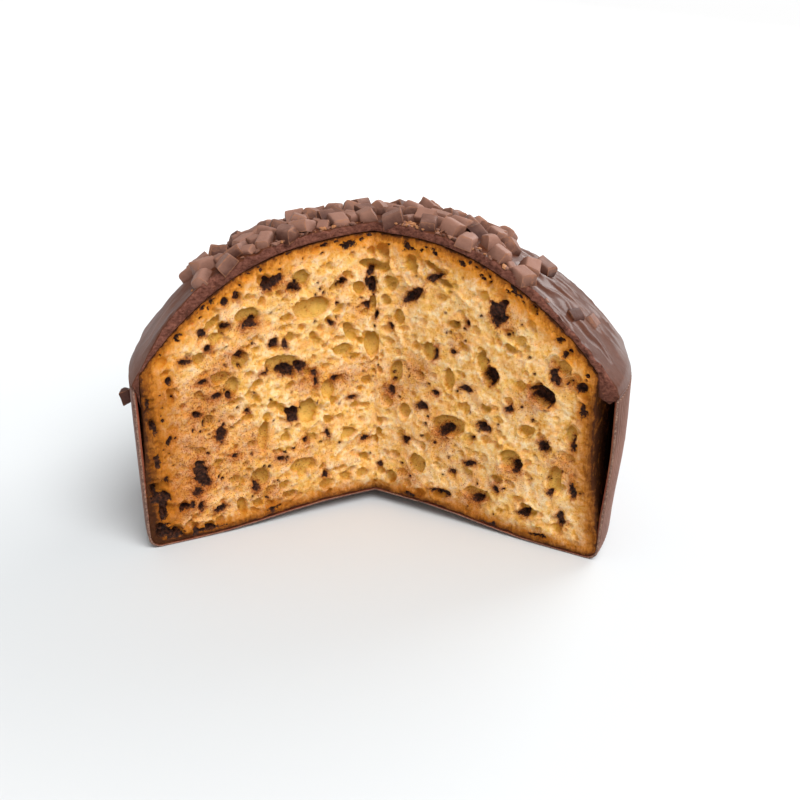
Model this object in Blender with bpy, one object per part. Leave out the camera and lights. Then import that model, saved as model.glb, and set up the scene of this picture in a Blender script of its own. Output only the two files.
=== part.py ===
"""A domed panettone with a wide wedge cut out of it, in its paper baking case.

The loaf, its chocolate coating and the case are turned about one upright axis, and the same
wedge is then cut from all three. Metres, +Z up. The cut faces look towards -Y.
"""

import math
import random

import bmesh
import bpy
from mathutils import Matrix, Vector, noise

MM = 0.001

# Paper baking case
CASE_BASE_RADIUS = 94.8 * MM
CASE_RIM_RADIUS = 96.4 * MM
CASE_HEIGHT = 68 * MM
BULGE = 2.8 * MM
BULGE_BEARING = math.radians(-16)
PAPER = 0.8 * MM
CORNER_RADIUS = 5.0 * MM
BASE_ARCH = 4.5 * MM
BASE_ARCH_RADIUS = 72 * MM

# Loaf
CLEARANCE = 0.35 * MM
CROWN_HEIGHT = 116.5 * MM
SHOULDER_HEIGHT = 71 * MM
SHOULDER_RADIUS = 95 * MM
DOME_POWER = 2.55
DOME_LUMP = 1.0 * MM

# Wedge that was cut out: where its two faces meet, and the bearings at which they leave the case
CREASE = Vector((-1.4 * MM, 9.0 * MM))
LEFT_BEARING = math.radians(200)
RIGHT_BEARING = math.radians(-26)

# Chocolate coating
COATING_TOP = 120.6 * MM
COATING_EDGE_HEIGHT = 71.2 * MM
COATING_EDGE_RADIUS = 98 * MM
COATING_POWER = 2.6
DRIP_LENGTH = 13 * MM
DRIP_THICKNESS = 1.8 * MM
DRIP_BEARINGS = [math.radians(degrees) for degrees in (34, 61, 97, 127, 150)]
KEEL = 8 * MM

# Chocolate chunks strewn on the coating
CHUNK_SIZE = Vector((9.5, 8.0, 6.0)) * MM
CHUNK_SPACING = 8.8 * MM
CHUNK_FIELD_CENTRE = Vector((-5 * MM, 6 * MM))
CHUNK_FIELD_RADIUS = 69 * MM
CHUNK_COUNT = 84
STRAY_CHUNKS = [(math.radians(-17), 77 * MM), (math.radians(-12), 83 * MM)]

STEPS = 64
SEED = 24


def smooth_step(low, high, value):
    share = min(1.0, max(0.0, (value - low) / (high - low)))
    return share * share * (3 - 2 * share)


def bell(value, centre, width):
    return math.exp(-(((value - centre) / width) ** 2))


def bearing_gap(bearing, other):
    """Unsigned angle between two bearings."""
    turn = (bearing - other + math.pi) % (2 * math.pi) - math.pi
    return abs(turn)


def material(name, colour, roughness):
    made = bpy.data.materials.new(name)
    made.use_nodes = True
    shader = made.node_tree.nodes["Principled BSDF"]
    shader.inputs["Base Color"].default_value = (*colour, 1.0)
    shader.inputs["Roughness"].default_value = roughness
    made.diffuse_color = (*colour, 1.0)
    return made


def node_from(bm, name, finish):
    """Object made from a bmesh, with its faces turned outwards."""
    bmesh.ops.recalc_face_normals(bm, faces=bm.faces)
    if bm.calc_volume(signed=True) < 0:
        bmesh.ops.reverse_faces(bm, faces=bm.faces)
    mesh = bpy.data.meshes.new(name)
    bm.to_mesh(mesh)
    bm.free()
    mesh.materials.append(finish)
    made = bpy.data.objects.new(name, mesh)
    bpy.context.scene.collection.objects.link(made)
    return made


def revolve(name, section, finish):
    """Closed solid turned about the axis. section(bearing) gives (radius, height) pairs axis to axis."""
    bm = bmesh.new()
    columns = []
    for step in range(STEPS):
        bearing = 2 * math.pi * step / STEPS
        outline = section(bearing)
        columns.append(
            [
                bm.verts.new((radius * math.cos(bearing), radius * math.sin(bearing), height))
                for radius, height in outline[1:-1]
            ]
        )
    first = bm.verts.new((0, 0, outline[0][1]))
    last = bm.verts.new((0, 0, outline[-1][1]))
    for step, column in enumerate(columns):
        beside = columns[(step + 1) % STEPS]
        bm.faces.new((first, column[0], beside[0]))
        bm.faces.new((last, beside[-1], column[-1]))
        for low in range(len(column) - 1):
            bm.faces.new((column[low], column[low + 1], beside[low + 1], beside[low]))
    return node_from(bm, name, finish)


def base_rise(radius):
    """The underside arches up in the middle, as on a loaf that was hung upside down to cool."""
    return BASE_ARCH * (1 - smooth_step(0.2 * BASE_ARCH_RADIUS, BASE_ARCH_RADIUS, radius))


def case_radius(height):
    return CASE_BASE_RADIUS + (CASE_RIM_RADIUS - CASE_BASE_RADIUS) * height / CASE_HEIGHT


def bulge(bearing, height):
    """How far the paper bends outwards near the right cut."""
    share = bell(bearing_gap(bearing, BULGE_BEARING), 0, math.radians(26))
    return BULGE * share * smooth_step(5 * MM, 50 * MM, height)


def rounded_foot(radius, floor, corner):
    """Quarter round from the underside to the wall."""
    centre = radius - corner
    return [
        (centre + corner * math.sin(turn), floor + corner * (1 - math.cos(turn)))
        for turn in (0, math.pi / 6, math.pi / 3, math.pi / 2)
    ]


BASE_RADII = [0.0, 20 * MM, 38 * MM, 55 * MM, BASE_ARCH_RADIUS]


def case_section(bearing):
    """Outer skin from the axis up to the rim, then the inner skin back down."""
    foot = rounded_foot(CASE_BASE_RADIUS, 0, CORNER_RADIUS)
    outside = [(radius, base_rise(radius)) for radius in BASE_RADII] + foot
    wall_heights = (0.35 * CASE_HEIGHT, 0.7 * CASE_HEIGHT, CASE_HEIGHT)
    wall = [(case_radius(height) + bulge(bearing, height), height) for height in wall_heights]
    inner_foot = rounded_foot(CASE_BASE_RADIUS - PAPER, PAPER, CORNER_RADIUS - PAPER)
    inside = [(radius, base_rise(radius) + PAPER) for radius in BASE_RADII] + inner_foot
    inside += [(radius - PAPER, height) for radius, height in wall]
    return outside + wall + inside[::-1]


def shrinkage(bearing, height):
    """How far the crust stands back from the paper, most of it beside the two cuts."""
    right = 5.4 * MM * bell(bearing_gap(bearing, RIGHT_BEARING), 0, math.radians(17))
    left = 2.3 * MM * bell(bearing_gap(bearing, LEFT_BEARING), 0, math.radians(14))
    return (right + left) * smooth_step(4 * MM, 46 * MM, height)


def loaf_radius(bearing, height):
    return case_radius(height) - PAPER - CLEARANCE - shrinkage(bearing, height)


def crust_lump(x, y):
    """Soft lumps of the risen crust, fading out at the crown and at the shoulder."""
    share = min(1.0, math.hypot(x, y) / SHOULDER_RADIUS)
    return noise.noise(Vector((x, y, 0)) / (34 * MM)) * DOME_LUMP * share * (1 - share) * 4


def dome_height(x, y):
    """Top of the loaf."""
    share = min(1.0, math.hypot(x, y) / SHOULDER_RADIUS)
    fall = (CROWN_HEIGHT - SHOULDER_HEIGHT) * share**DOME_POWER
    return CROWN_HEIGHT - fall + crust_lump(x, y)


def coating_height(x, y):
    """Outside of the coating: thicker by the left cut, in folds where it ran down."""
    radius, bearing = math.hypot(x, y), math.atan2(y, x)
    share = radius / COATING_EDGE_RADIUS
    fall = (COATING_TOP - COATING_EDGE_HEIGHT) * share**COATING_POWER
    fill = 2.6 * MM * bell(bearing_gap(bearing, LEFT_BEARING), 0, math.radians(24))
    fill *= bell(radius, 66 * MM, 16 * MM)
    folds = 0.9 * MM * math.sin(bearing * 17 + radius / (16 * MM))
    folds *= smooth_step(48 * MM, 66 * MM, radius) * (1 - smooth_step(82 * MM, 93 * MM, radius))
    slow = 0.5 * MM * noise.noise(Vector((x, y, 0)) / (22 * MM))
    return COATING_TOP - fall + crust_lump(x, y) + fill + folds + slow


DOME_SHARES = [0.975, 0.93, 0.87, 0.79, 0.69, 0.57, 0.44, 0.30, 0.15]
OUTSIDE_SHARES = [0.985, 0.955, 0.91, 0.85, 0.77, 0.68, 0.57, 0.44, 0.30, 0.15]


def dome_points(bearing):
    """(radius, height) of the loaf's top from the shoulder inwards, without the axis."""
    shoulder = loaf_radius(bearing, CASE_HEIGHT)
    points = []
    for share in DOME_SHARES:
        radius = shoulder * share
        spot = (radius * math.cos(bearing), radius * math.sin(bearing))
        points.append((radius, dome_height(*spot)))
    return points


def loaf_section(bearing):
    floor = PAPER + CLEARANCE
    underside = [(radius, base_rise(radius) + floor) for radius in BASE_RADII]
    foot = rounded_foot(loaf_radius(bearing, 0), floor, CORNER_RADIUS - floor)
    wall_heights = (18 * MM, 34 * MM, 50 * MM, CASE_HEIGHT)
    wall = [(loaf_radius(bearing, height), height) for height in wall_heights]
    return underside + foot + wall + dome_points(bearing) + [(0.0, dome_height(0, 0))]


def lap(bearing, near, far):
    """0 beside the two cuts, where the coating stays inside the paper, 1 where it laps over the rim."""
    left, right = bearing_gap(bearing, LEFT_BEARING), bearing_gap(bearing, RIGHT_BEARING)
    return smooth_step(math.radians(near), math.radians(far), min(left, right))


def drip(bearing):
    """0 where the coating stops at the rim, 1 in the middle of a run down the paper."""
    return max(
        bell(bearing_gap(bearing, run), 0, math.radians(5.0 + 1.5 * (index % 3)))
        * (1.0, 0.55, 0.8)[index % 3]
        for index, run in enumerate(DRIP_BEARINGS)
    )


def coating_section(bearing):
    """Inner skin from the axis out over the rim of the case, then the outer skin back to the axis.

    Where the crust stands back from the paper, the coating also ran a little way down between them.
    """
    shelf = CASE_HEIGHT + CLEARANCE
    inside = [(radius, height + 1.6 * CLEARANCE) for radius, height in dome_points(bearing)[::-1]]
    inside.append((loaf_radius(bearing, CASE_HEIGHT) + CLEARANCE, shelf + 0.25 * MM))
    keel = KEEL * smooth_step(0.9 * MM, 2.2 * MM, shrinkage(bearing, CASE_HEIGHT))
    keel *= 1 - 0.75 * bell(bearing_gap(bearing, RIGHT_BEARING), 0, math.radians(45))
    paper_inside = CASE_RIM_RADIUS + bulge(bearing, CASE_HEIGHT) - PAPER
    crust_here = loaf_radius(bearing, shelf - keel)
    tip = crust_here + 1.4 * CLEARANCE + 0.95 * max(0, paper_inside - crust_here - 3.2 * MM)
    inside.append((tip, shelf - keel))
    inside.append((max(paper_inside - 0.6 * MM, tip + 0.1 * MM), shelf + 0.1 * MM))
    out, down = lap(bearing, 22, 34), lap(bearing, 34, 44)
    run = drip(bearing) * down
    stay = paper_inside - 0.4 * MM
    hem_radius = stay + (CLEARANCE + PAPER + 0.4 * MM) * out
    hem_height = shelf + 0.1 * MM - (1.3 * MM + DRIP_LENGTH * run) * down
    hem_thickness = 0.8 * MM + DRIP_THICKNESS * run
    hem = [
        (hem_radius, shelf + 0.3 * MM),
        (hem_radius, hem_height),
        (hem_radius + 0.8 * hem_thickness, hem_height + 0.4 * MM),
        (hem_radius + hem_thickness, hem_height + 0.25 * DRIP_LENGTH * run + 1.2 * MM),
        (hem_radius + 0.7 * hem_thickness, shelf + 1.7 * MM),
    ]
    outside = []
    tuck = 1.8 * MM + 0.8 * MM * bell(bearing_gap(bearing, LEFT_BEARING), 0, math.radians(40))
    for share in OUTSIDE_SHARES:
        radius = COATING_EDGE_RADIUS * share
        height = coating_height(radius * math.cos(bearing), radius * math.sin(bearing))
        shift = (bulge(bearing, CASE_HEIGHT) - tuck * (1 - out)) * smooth_step(0.8, 1.0, share)
        outside.append((radius + shift, height))
    top = dome_height(0, 0) + 1.6 * CLEARANCE
    return [(0.0, top)] + inside + hem + outside + [(0.0, coating_height(0, 0))]


def crown_section(bearing):
    """The loaf's top, raised by the clearance: room that the chunks must leave free."""
    shoulder = loaf_radius(bearing, CASE_HEIGHT)
    dome = [(radius, height + CLEARANCE) for radius, height in dome_points(bearing)]
    return [(0.0, 50 * MM), (shoulder, 50 * MM), (shoulder, CASE_HEIGHT)] + dome + [
        (0.0, dome_height(0, 0) + CLEARANCE)
    ]


def rim_point(bearing):
    return Vector((math.cos(bearing), math.sin(bearing))) * CASE_RIM_RADIUS


def face_direction(bearing):
    """Unit vector along a cut face, from the crease out to the case."""
    return (rim_point(bearing) - CREASE).normalized()


def face_relief(along, up):
    """Unevenness of a cut face, in metres."""
    broad = noise.noise(Vector((along, up, 0)) / (19 * MM)) * 1.5 * MM
    fine = noise.noise(Vector((along, up, 30 * MM)) / (6 * MM)) * 0.7 * MM
    return broad + fine


def wedge(name, finish, columns, rows, relief):
    """Prism that takes the wedge away. Its two faces are a grid, moved in and out by relief(along, up)."""
    reach, front, low, high = 112 * MM, -180 * MM, -8 * MM, 132 * MM
    left, right = face_direction(LEFT_BEARING), face_direction(RIGHT_BEARING)
    steps = [reach * column / columns for column in range(columns, 0, -1)]
    plan = [(CREASE + left * along, Vector((left.y, -left.x)), along) for along in steps]
    plan.append((CREASE, Vector((0, 1)), 0.0))
    plan += [
        (CREASE + right * along, Vector((-right.y, right.x)), along + reach)
        for along in reversed(steps)
    ]
    corners = [Vector((1.5 * reach, front)), Vector((-1.5 * reach, front))]
    bm = bmesh.new()
    layers = []
    for row in range(rows + 1):
        up = low + (high - low) * row / rows
        layer = []
        for spot, normal, along in plan:
            moved = spot + normal * relief(along, up)
            layer.append(bm.verts.new((moved.x, moved.y, up)))
        layer += [bm.verts.new((corner.x, corner.y, up)) for corner in corners]
        layers.append(layer)
    for below, above in zip(layers, layers[1:]):
        for index in range(len(below)):
            beside = (index + 1) % len(below)
            bm.faces.new((below[index], below[beside], above[beside], above[index]))
    bm.faces.new(layers[0][::-1])
    bm.faces.new(layers[-1])
    return node_from(bm, name, finish)


def on_face(bearing, along, up, depth):
    """Point of a cut face, sunk into the crumb by depth."""
    direction = face_direction(bearing)
    inward = Vector((-direction.y, direction.x))
    if inward.y < 0:
        inward = -inward
    spot = CREASE + direction * along + inward * depth
    return Vector((spot.x, spot.y, up))


def lump(name, finish, bearing, along, up, wide, high, turn, depth, sink, rough, rng):
    """Uneven rounded lump on a cut face: a pocket's cutter or a drop of chocolate."""
    direction = face_direction(bearing)
    across = Vector((direction.x, direction.y, 0))
    inward = Vector((-direction.y, direction.x, 0))
    bm = bmesh.new()
    bmesh.ops.create_icosphere(bm, subdivisions=2, radius=1.0)
    centre = on_face(bearing, along, up, sink)
    for vert in bm.verts:
        scale = 1 + rough * (rng.random() - 0.5)
        side, rise = vert.co.x * wide / 2 * scale, vert.co.z * high / 2 * scale
        turned = side * math.cos(turn) - rise * math.sin(turn)
        risen = side * math.sin(turn) + rise * math.cos(turn)
        vert.co = centre + across * turned + inward * (vert.co.y * depth * scale)
        vert.co.z += risen
    return node_from(bm, name, finish)


# Pockets in the crumb, in mm: along the face from the crease, up, width, height, turn in degrees
LEFT_POCKETS = [
    (31, 100, 10, 8, 20), (26, 88, 13, 8, 0), (51, 89, 10, 8, 0), (65, 86, 12, 6, -48),
    (9, 77, 6, 10, 0), (41, 67, 13, 9, 0), (57, 72, 7, 8, 0), (60, 61, 6, 9, 20),
    (31, 46, 11, 10, 20), (73, 27, 9, 16, 0), (50, 20, 8, 10, -25), (48, 38, 6, 13, 0),
    (14, 97, 9, 5, -25), (57, 10, 5, 8, -20),
]
RIGHT_POCKETS = [
    (18, 94, 12, 6, 35), (54, 92, 9, 12, -10), (26, 72, 7, 8, 0), (52, 67, 7, 8, 0),
    (74, 63, 12, 9, 0), (12, 104, 10, 6, 10), (34, 42, 14, 9, 0), (62, 33, 10, 8, 30),
    (20, 22, 8, 9, 0), (80, 30, 6, 12, 0), (47, 15, 10, 6, 0),
]
# Drops of chocolate, in mm: along the face from the crease, up, width, height, turn in degrees
LEFT_DROPS = [
    (43, 101, 10, 5, 20), (33, 98, 6, 5, 0), (50, 86, 6, 3, 0), (40, 64, 11, 5, 0),
    (35, 46, 7, 7, 0), (73, 25, 7, 12, 0), (65, 43, 5, 7, 0), (52, 17, 4, 4, 0),
    (78, 76, 5, 4, 0), (42, 77, 4, 4, 0), (89, 16, 4, 9, 0), (69, 11, 6, 3, -30),
]
RIGHT_DROPS = [
    (18, 93, 10, 5, 35), (54, 91, 7, 8, 0), (28, 71, 4, 6, 0), (52, 67, 5, 5, 0),
    (72, 62, 8, 7, 0), (78, 72, 4, 6, 0), (35, 41, 6, 5, 0), (64, 32, 5, 5, 0),
]


def scatter_chunks():
    """Places and turns of the chunks, thrown at random and kept apart, thinning out outwards."""
    rng = random.Random(SEED)
    placed = []
    for _attempt in range(6000):
        if len(placed) == CHUNK_COUNT:
            break
        reach = CHUNK_FIELD_RADIUS * math.sqrt(rng.random())
        bearing = 2 * math.pi * rng.random()
        thin = rng.random() < smooth_step(0.8, 1.15, reach / CHUNK_FIELD_RADIUS)
        spot = CHUNK_FIELD_CENTRE + Vector((math.cos(bearing), math.sin(bearing))) * reach
        yaw, lean, heel = rng.random() * math.pi, rng.gauss(0, 14), rng.gauss(0, 14)
        size = [edge * (0.84 + 0.34 * rng.random()) for edge in CHUNK_SIZE]
        if thin or in_wedge(spot, 1.5 * MM):
            continue
        if any((spot - other[0]).length < CHUNK_SPACING for other in placed):
            continue
        placed.append((spot, yaw, math.radians(lean), math.radians(heel), size))
    for bearing, reach in STRAY_CHUNKS:
        spot = Vector((math.cos(bearing), math.sin(bearing))) * reach
        placed.append((spot, bearing, 0.1, -0.1, list(CHUNK_SIZE * 0.85)))
    return placed


def in_wedge(spot, margin):
    """Whether a place in plan lies in the cut-out wedge, or within margin of it."""
    offset = spot - CREASE
    left, right = face_direction(LEFT_BEARING), face_direction(RIGHT_BEARING)
    left_depth = offset.x * left.y - offset.y * left.x
    right_depth = -offset.x * right.y + offset.y * right.x
    if offset.y < 0:
        return left_depth < margin and right_depth < margin
    return min(left_depth, right_depth) < margin


def surface_frame(spot, lift):
    """Matrix at a place on the coating, its Z along the slope's normal."""
    step = 2 * MM
    height = coating_height(spot.x, spot.y)
    grade_x = (coating_height(spot.x + step, spot.y) - height) / step
    grade_y = (coating_height(spot.x, spot.y + step) - height) / step
    normal = Vector((-grade_x, -grade_y, 1)).normalized()
    centre = Vector((spot.x, spot.y, height)) + normal * lift
    return Matrix.Translation(centre) @ normal.to_track_quat("Z", "Y").to_matrix().to_4x4()


def chunk(index, finish, spot, yaw, lean, heel, size):
    """Broken block of chocolate with a narrower top, pressed a little into the coating."""
    bm = bmesh.new()
    bmesh.ops.create_cube(bm, size=1.0)
    for vert in bm.verts:
        taper = 0.84 if vert.co.z > 0 else 1.0
        vert.co = Vector((vert.co.x * size[0] * taper, vert.co.y * size[1] * taper, vert.co.z * size[2]))
    turned = Matrix.Rotation(yaw, 4, "Z") @ Matrix.Rotation(lean, 4, "X") @ Matrix.Rotation(heel, 4, "Y")
    bm.transform(surface_frame(spot, size[2] / 2 - 1.6 * MM) @ turned)
    return node_from(bm, f"chunk_{index}", finish)


def combine(target, operation, tools):
    """Applies one Boolean with all the tools, then removes them."""
    group = bpy.data.collections.new("tools")
    bpy.context.scene.collection.children.link(group)
    for tool in tools:
        bpy.context.scene.collection.objects.unlink(tool)
        group.objects.link(tool)
    modifier = target.modifiers.new("join", "BOOLEAN")
    modifier.operation = operation
    modifier.operand_type = "COLLECTION"
    modifier.collection = group
    modifier.solver = "MANIFOLD"
    with bpy.context.temp_override(object=target, active_object=target):
        bpy.ops.object.modifier_apply(modifier=modifier.name)
    for tool in tools:
        bpy.data.objects.remove(tool)
    bpy.data.collections.remove(group)


def make_loaf():
    crumb = material("crumb", (0.72, 0.42, 0.15), 0.85)
    rng = random.Random(SEED + 1)
    loaf = revolve("loaf", loaf_section, crumb)
    combine(loaf, "DIFFERENCE", [wedge("cut", crumb, 19, 22, face_relief)])
    faces = ((LEFT_BEARING, LEFT_POCKETS, LEFT_DROPS), (RIGHT_BEARING, RIGHT_POCKETS, RIGHT_DROPS))
    pockets, drops = [], []
    for bearing, face_pockets, face_drops in faces:
        for along, up, wide, high, turn in face_pockets:
            depth = 0.35 * min(wide, high) * MM + 1.2 * MM
            size = (wide * MM, high * MM, math.radians(turn), depth, 0.2 * MM)
            pockets.append(lump("pocket", crumb, bearing, along * MM, up * MM, *size, 0.12, rng))
        for along, up, wide, high, turn in face_drops:
            size = (wide * MM, high * MM, math.radians(turn), 4.6 * MM, 4.0 * MM)
            drops.append(lump("drop", crumb, bearing, along * MM, up * MM, *size, 0.3, rng))
    combine(loaf, "DIFFERENCE", pockets)
    combine(loaf, "UNION", drops)
    return loaf


def make_coating():
    chocolate = material("chocolate", (0.115, 0.05, 0.035), 0.35)
    coating = revolve("coating", coating_section, chocolate)
    chunks = [chunk(index, chocolate, *place) for index, place in enumerate(scatter_chunks())]
    combine(coating, "UNION", chunks)
    combine(coating, "DIFFERENCE", [revolve("crown", crown_section, chocolate)])
    combine(coating, "DIFFERENCE", [wedge("cut", chocolate, 1, 1, lambda along, up: 0.0)])
    return coating


def make_case():
    paper = material("paper", (0.09, 0.035, 0.02), 0.5)
    case = revolve("paper_case", case_section, paper)
    combine(case, "DIFFERENCE", [wedge("cut", paper, 1, 1, lambda along, up: 0.0)])
    return case


def centre_on_footprint(nodes):
    """Puts the origin under the middle of the whole object's bounding box, at the surface it stands on."""
    corners = [vert.co for node in nodes for vert in node.data.vertices]
    low = Vector([min(corner[axis] for corner in corners) for axis in range(3)])
    high = Vector([max(corner[axis] for corner in corners) for axis in range(3)])
    shift = Vector((-(low.x + high.x) / 2, -(low.y + high.y) / 2, -low.z))
    for node in nodes:
        node.data.transform(Matrix.Translation(shift))


for leftover in list(bpy.data.objects):
    bpy.data.objects.remove(leftover)
parts = [make_case(), make_loaf(), make_coating()]
centre_on_footprint(parts)
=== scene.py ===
"""Looks of the cut panettone: its paper case, crumb, chocolate coating and the chunks strewn on top.

Lengths are in millimetres from the loaf's upright axis, and are put into the row's frame as a
mesh is made. The cut faces look towards -Y.
"""

import math
import random

import bpy
import numpy as np
from mathutils import Matrix, Vector, noise


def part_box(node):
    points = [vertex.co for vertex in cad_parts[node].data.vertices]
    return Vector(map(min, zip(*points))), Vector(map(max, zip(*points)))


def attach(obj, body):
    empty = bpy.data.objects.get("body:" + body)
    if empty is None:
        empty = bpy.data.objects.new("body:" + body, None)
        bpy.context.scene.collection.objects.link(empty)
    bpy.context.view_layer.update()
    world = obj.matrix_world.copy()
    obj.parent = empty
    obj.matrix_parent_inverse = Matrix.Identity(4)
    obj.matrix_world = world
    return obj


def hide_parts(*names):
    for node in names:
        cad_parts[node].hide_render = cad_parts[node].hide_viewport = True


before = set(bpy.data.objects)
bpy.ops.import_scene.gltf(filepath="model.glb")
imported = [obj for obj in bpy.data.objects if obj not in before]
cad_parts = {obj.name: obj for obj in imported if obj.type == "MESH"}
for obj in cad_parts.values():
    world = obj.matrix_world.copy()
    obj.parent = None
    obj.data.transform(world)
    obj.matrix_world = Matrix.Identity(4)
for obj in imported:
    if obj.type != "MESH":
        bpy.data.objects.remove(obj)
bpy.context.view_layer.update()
bpy.ops.object.select_all(action="DESELECT")


# The paper baking case
# A strip of thin dark brown baking paper, pressed into fine upright flutes and glued round a disc.
# The loaf is baked in it, and the knife went through paper and loaf together.

CASE_FOOT_RADIUS, CASE_RIM_RADIUS, CASE_HEIGHT = 94.8, 96.4, 68.0
CORNER = 5.0
FLUTES = 158
FLUTE_DEPTH = 0.45
PAPER = 0.95
MM = 0.001

case_low, case_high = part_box("paper_case")
AXIS = Vector((case_low.x + MM * CASE_RIM_RADIUS, case_high.y - MM * CASE_RIM_RADIUS, 0))

CREASE = np.array((-1.4, 9.0))
LEFT_CUT, RIGHT_CUT = math.radians(200), math.radians(-26)


def smooth_step(low, high, value):
    share = np.clip((value - low) / (high - low), 0, 1)
    return share * share * (3 - 2 * share)


def bell(value, centre, width):
    return np.exp(-(((value - centre) / width) ** 2))


def bearing_gap(bearing, other):
    return np.abs((bearing - other + np.pi) % (2 * np.pi) - np.pi)


def toward(bearing, middle, width):
    """1 at the middle bearing, falling off to both sides of it over width degrees."""
    return bell(bearing_gap(bearing, middle), 0, math.radians(width))


def face_direction(bearing):
    """Unit vector in plan along a cut face, from the crease out to the rim of the case."""
    along = CASE_RIM_RADIUS * np.array((math.cos(bearing), math.sin(bearing))) - CREASE
    return along / np.linalg.norm(along)


LEFT_FACE, RIGHT_FACE = face_direction(LEFT_CUT), face_direction(RIGHT_CUT)
LEFT_OUT = np.array((-LEFT_FACE[1], LEFT_FACE[0]))
RIGHT_OUT = np.array((RIGHT_FACE[1], -RIGHT_FACE[0]))


def fan(count):
    """Plan directions from the crease, from the left face round the back to the right face."""
    start = math.atan2(LEFT_FACE[1], LEFT_FACE[0]) % (2 * math.pi)
    turn = np.linspace(start, math.atan2(RIGHT_FACE[1], RIGHT_FACE[0]), count)
    return np.stack((np.cos(turn), np.sin(turn)), axis=1)


def reach(direction, radius):
    """How far it is from the crease along a plan direction to a circle about the axis."""
    along = direction @ CREASE
    return np.sqrt(along**2 - CREASE @ CREASE + radius**2) - along


def spread(directions, far):
    """Places in plan, this far from the crease along plan directions."""
    return CREASE + directions * far[..., None]


def raised(plan, height):
    """Places in plan with their heights."""
    return np.concatenate((plan, height[..., None]), axis=-1)


def base_rise(radius):
    """The underside arches up in the middle, as on a loaf that was hung upside down to cool."""
    return 4.5 * (1 - smooth_step(14.4, 72, radius))


def case_radius(height):
    return CASE_FOOT_RADIUS + (CASE_RIM_RADIUS - CASE_FOOT_RADIUS) * height / CASE_HEIGHT


def bulge(bearing, height):
    """How far the paper bends outwards near the right cut."""
    return 2.8 * toward(bearing, math.radians(-16), 26) * smooth_step(5, 50, height)


def lay_sheet(name, points, **marks):
    """Grid laid over points, an array of (column, row, xyz). Marks are values kept at its vertices."""
    columns, rows = points.shape[:2]
    bpy.ops.mesh.primitive_grid_add(x_subdivisions=columns - 1, y_subdivisions=rows - 1, size=1)
    piece = bpy.context.object
    piece.name = name
    mesh = piece.data
    flat = np.empty(len(mesh.vertices) * 3)
    mesh.vertices.foreach_get("co", flat)
    shares = flat.reshape(-1, 3)[:, :2] + 0.5
    column, row = np.rint(shares * (columns - 1, rows - 1)).astype(int).T
    mesh.vertices.foreach_set("co", (points[column, row] * MM + np.array(AXIS)).ravel())
    for mark, values in marks.items():
        kept = mesh.attributes.new(mark, "FLOAT", "POINT")
        kept.data.foreach_set("value", values[column, row].astype(float))
    return piece


def give_finishes(sheets, picks, finishes):
    """Gives every sheet all the finishes, and uses the picked one on each."""
    for sheet, pick in zip(sheets, picks):
        for finish in finishes:
            sheet.data.materials.append(finish)
        faces = sheet.data.polygons
        faces.foreach_set("material_index", np.full(len(faces), pick, dtype=int))


def close_up(name, sheets):
    """Joins sheets into one closed piece and turns its faces outwards."""
    bpy.ops.object.select_all(action="DESELECT")
    for sheet in sheets:
        sheet.select_set(True)
    bpy.context.view_layer.objects.active = sheets[0]
    bpy.ops.object.join()
    piece = bpy.context.object
    piece.name = piece.data.name = name
    bpy.ops.object.mode_set(mode="EDIT")
    bpy.ops.mesh.select_all(action="SELECT")
    bpy.ops.mesh.remove_doubles(threshold=0.000004)
    bpy.ops.mesh.normals_make_consistent(inside=False)
    bpy.ops.object.mode_set(mode="OBJECT")
    bpy.ops.object.shade_smooth()
    bpy.ops.object.select_all(action="DESELECT")
    return piece


class Wire:
    """An output of a material's node. Sums with it add Math nodes, and node() adds any other kind."""

    def __init__(self, socket):
        self.socket = socket

    @staticmethod
    def plug(value, socket):
        if isinstance(value, Wire):
            socket.id_data.links.new(value.socket, socket)
        elif isinstance(value, tuple) and len(value) == 3 and socket.type == "RGBA":
            socket.default_value = (*value, 1.0)
        else:
            socket.default_value = value

    def node(self, kind, settings=None, sockets=None, output=0):
        made = self.socket.id_data.nodes.new(kind)
        for name, value in (settings or {}).items():
            setattr(made, name, value)
        for name, value in (sockets or {}).items():
            Wire.plug(value, made.inputs[name])
        return Wire(made.outputs[output])

    def math(self, operation, *values):
        return self.node("ShaderNodeMath", {"operation": operation}, dict(enumerate((self, *values))))

    def __add__(self, other):
        return self.math("ADD", other)

    __radd__ = __add__

    def __mul__(self, other):
        return self.math("MULTIPLY", other)

    def __sub__(self, other):
        return self.math("SUBTRACT", other)

    def __rsub__(self, other):
        return self.math("MULTIPLY", -1.0) + other

    def rise(self, low, high):
        """0 below low, 1 above high, and a smooth rise between them. It falls where low is above high."""
        ends = {"Value": self, "From Min": low, "From Max": high}
        return self.node("ShaderNodeMapRange", {"interpolation_type": "SMOOTHSTEP"}, ends)

    def tint(self, under, over):
        """Colour that goes from under to over as this value goes from 0 to 1."""
        return self.node("ShaderNodeMix", {"data_type": "RGBA"}, {0: self, 6: under, 7: over}, 2)

    def part(self, axis):
        """One part of a place: 0 is how far right it is, 1 how far back and 2 how high."""
        return self.node("ShaderNodeSeparateXYZ", {}, {0: self}, axis)

    def mark(self, name):
        """Values kept at the vertices of a sheet."""
        return self.node("ShaderNodeAttribute", {"attribute_name": name}, output=2)


def new_finish(name):
    """A material, its Principled shader, and the place on the piece in millimetres."""
    finish = bpy.data.materials.new(name)
    finish.use_nodes = True
    shader = finish.node_tree.nodes["Principled BSDF"]
    place = Wire(shader.outputs[0]).node("ShaderNodeTexCoord", output=3)
    scaled = place.node("ShaderNodeVectorMath", {"operation": "SCALE"}, {0: place, "Scale": 1 / MM})
    return finish, shader, scaled


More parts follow.
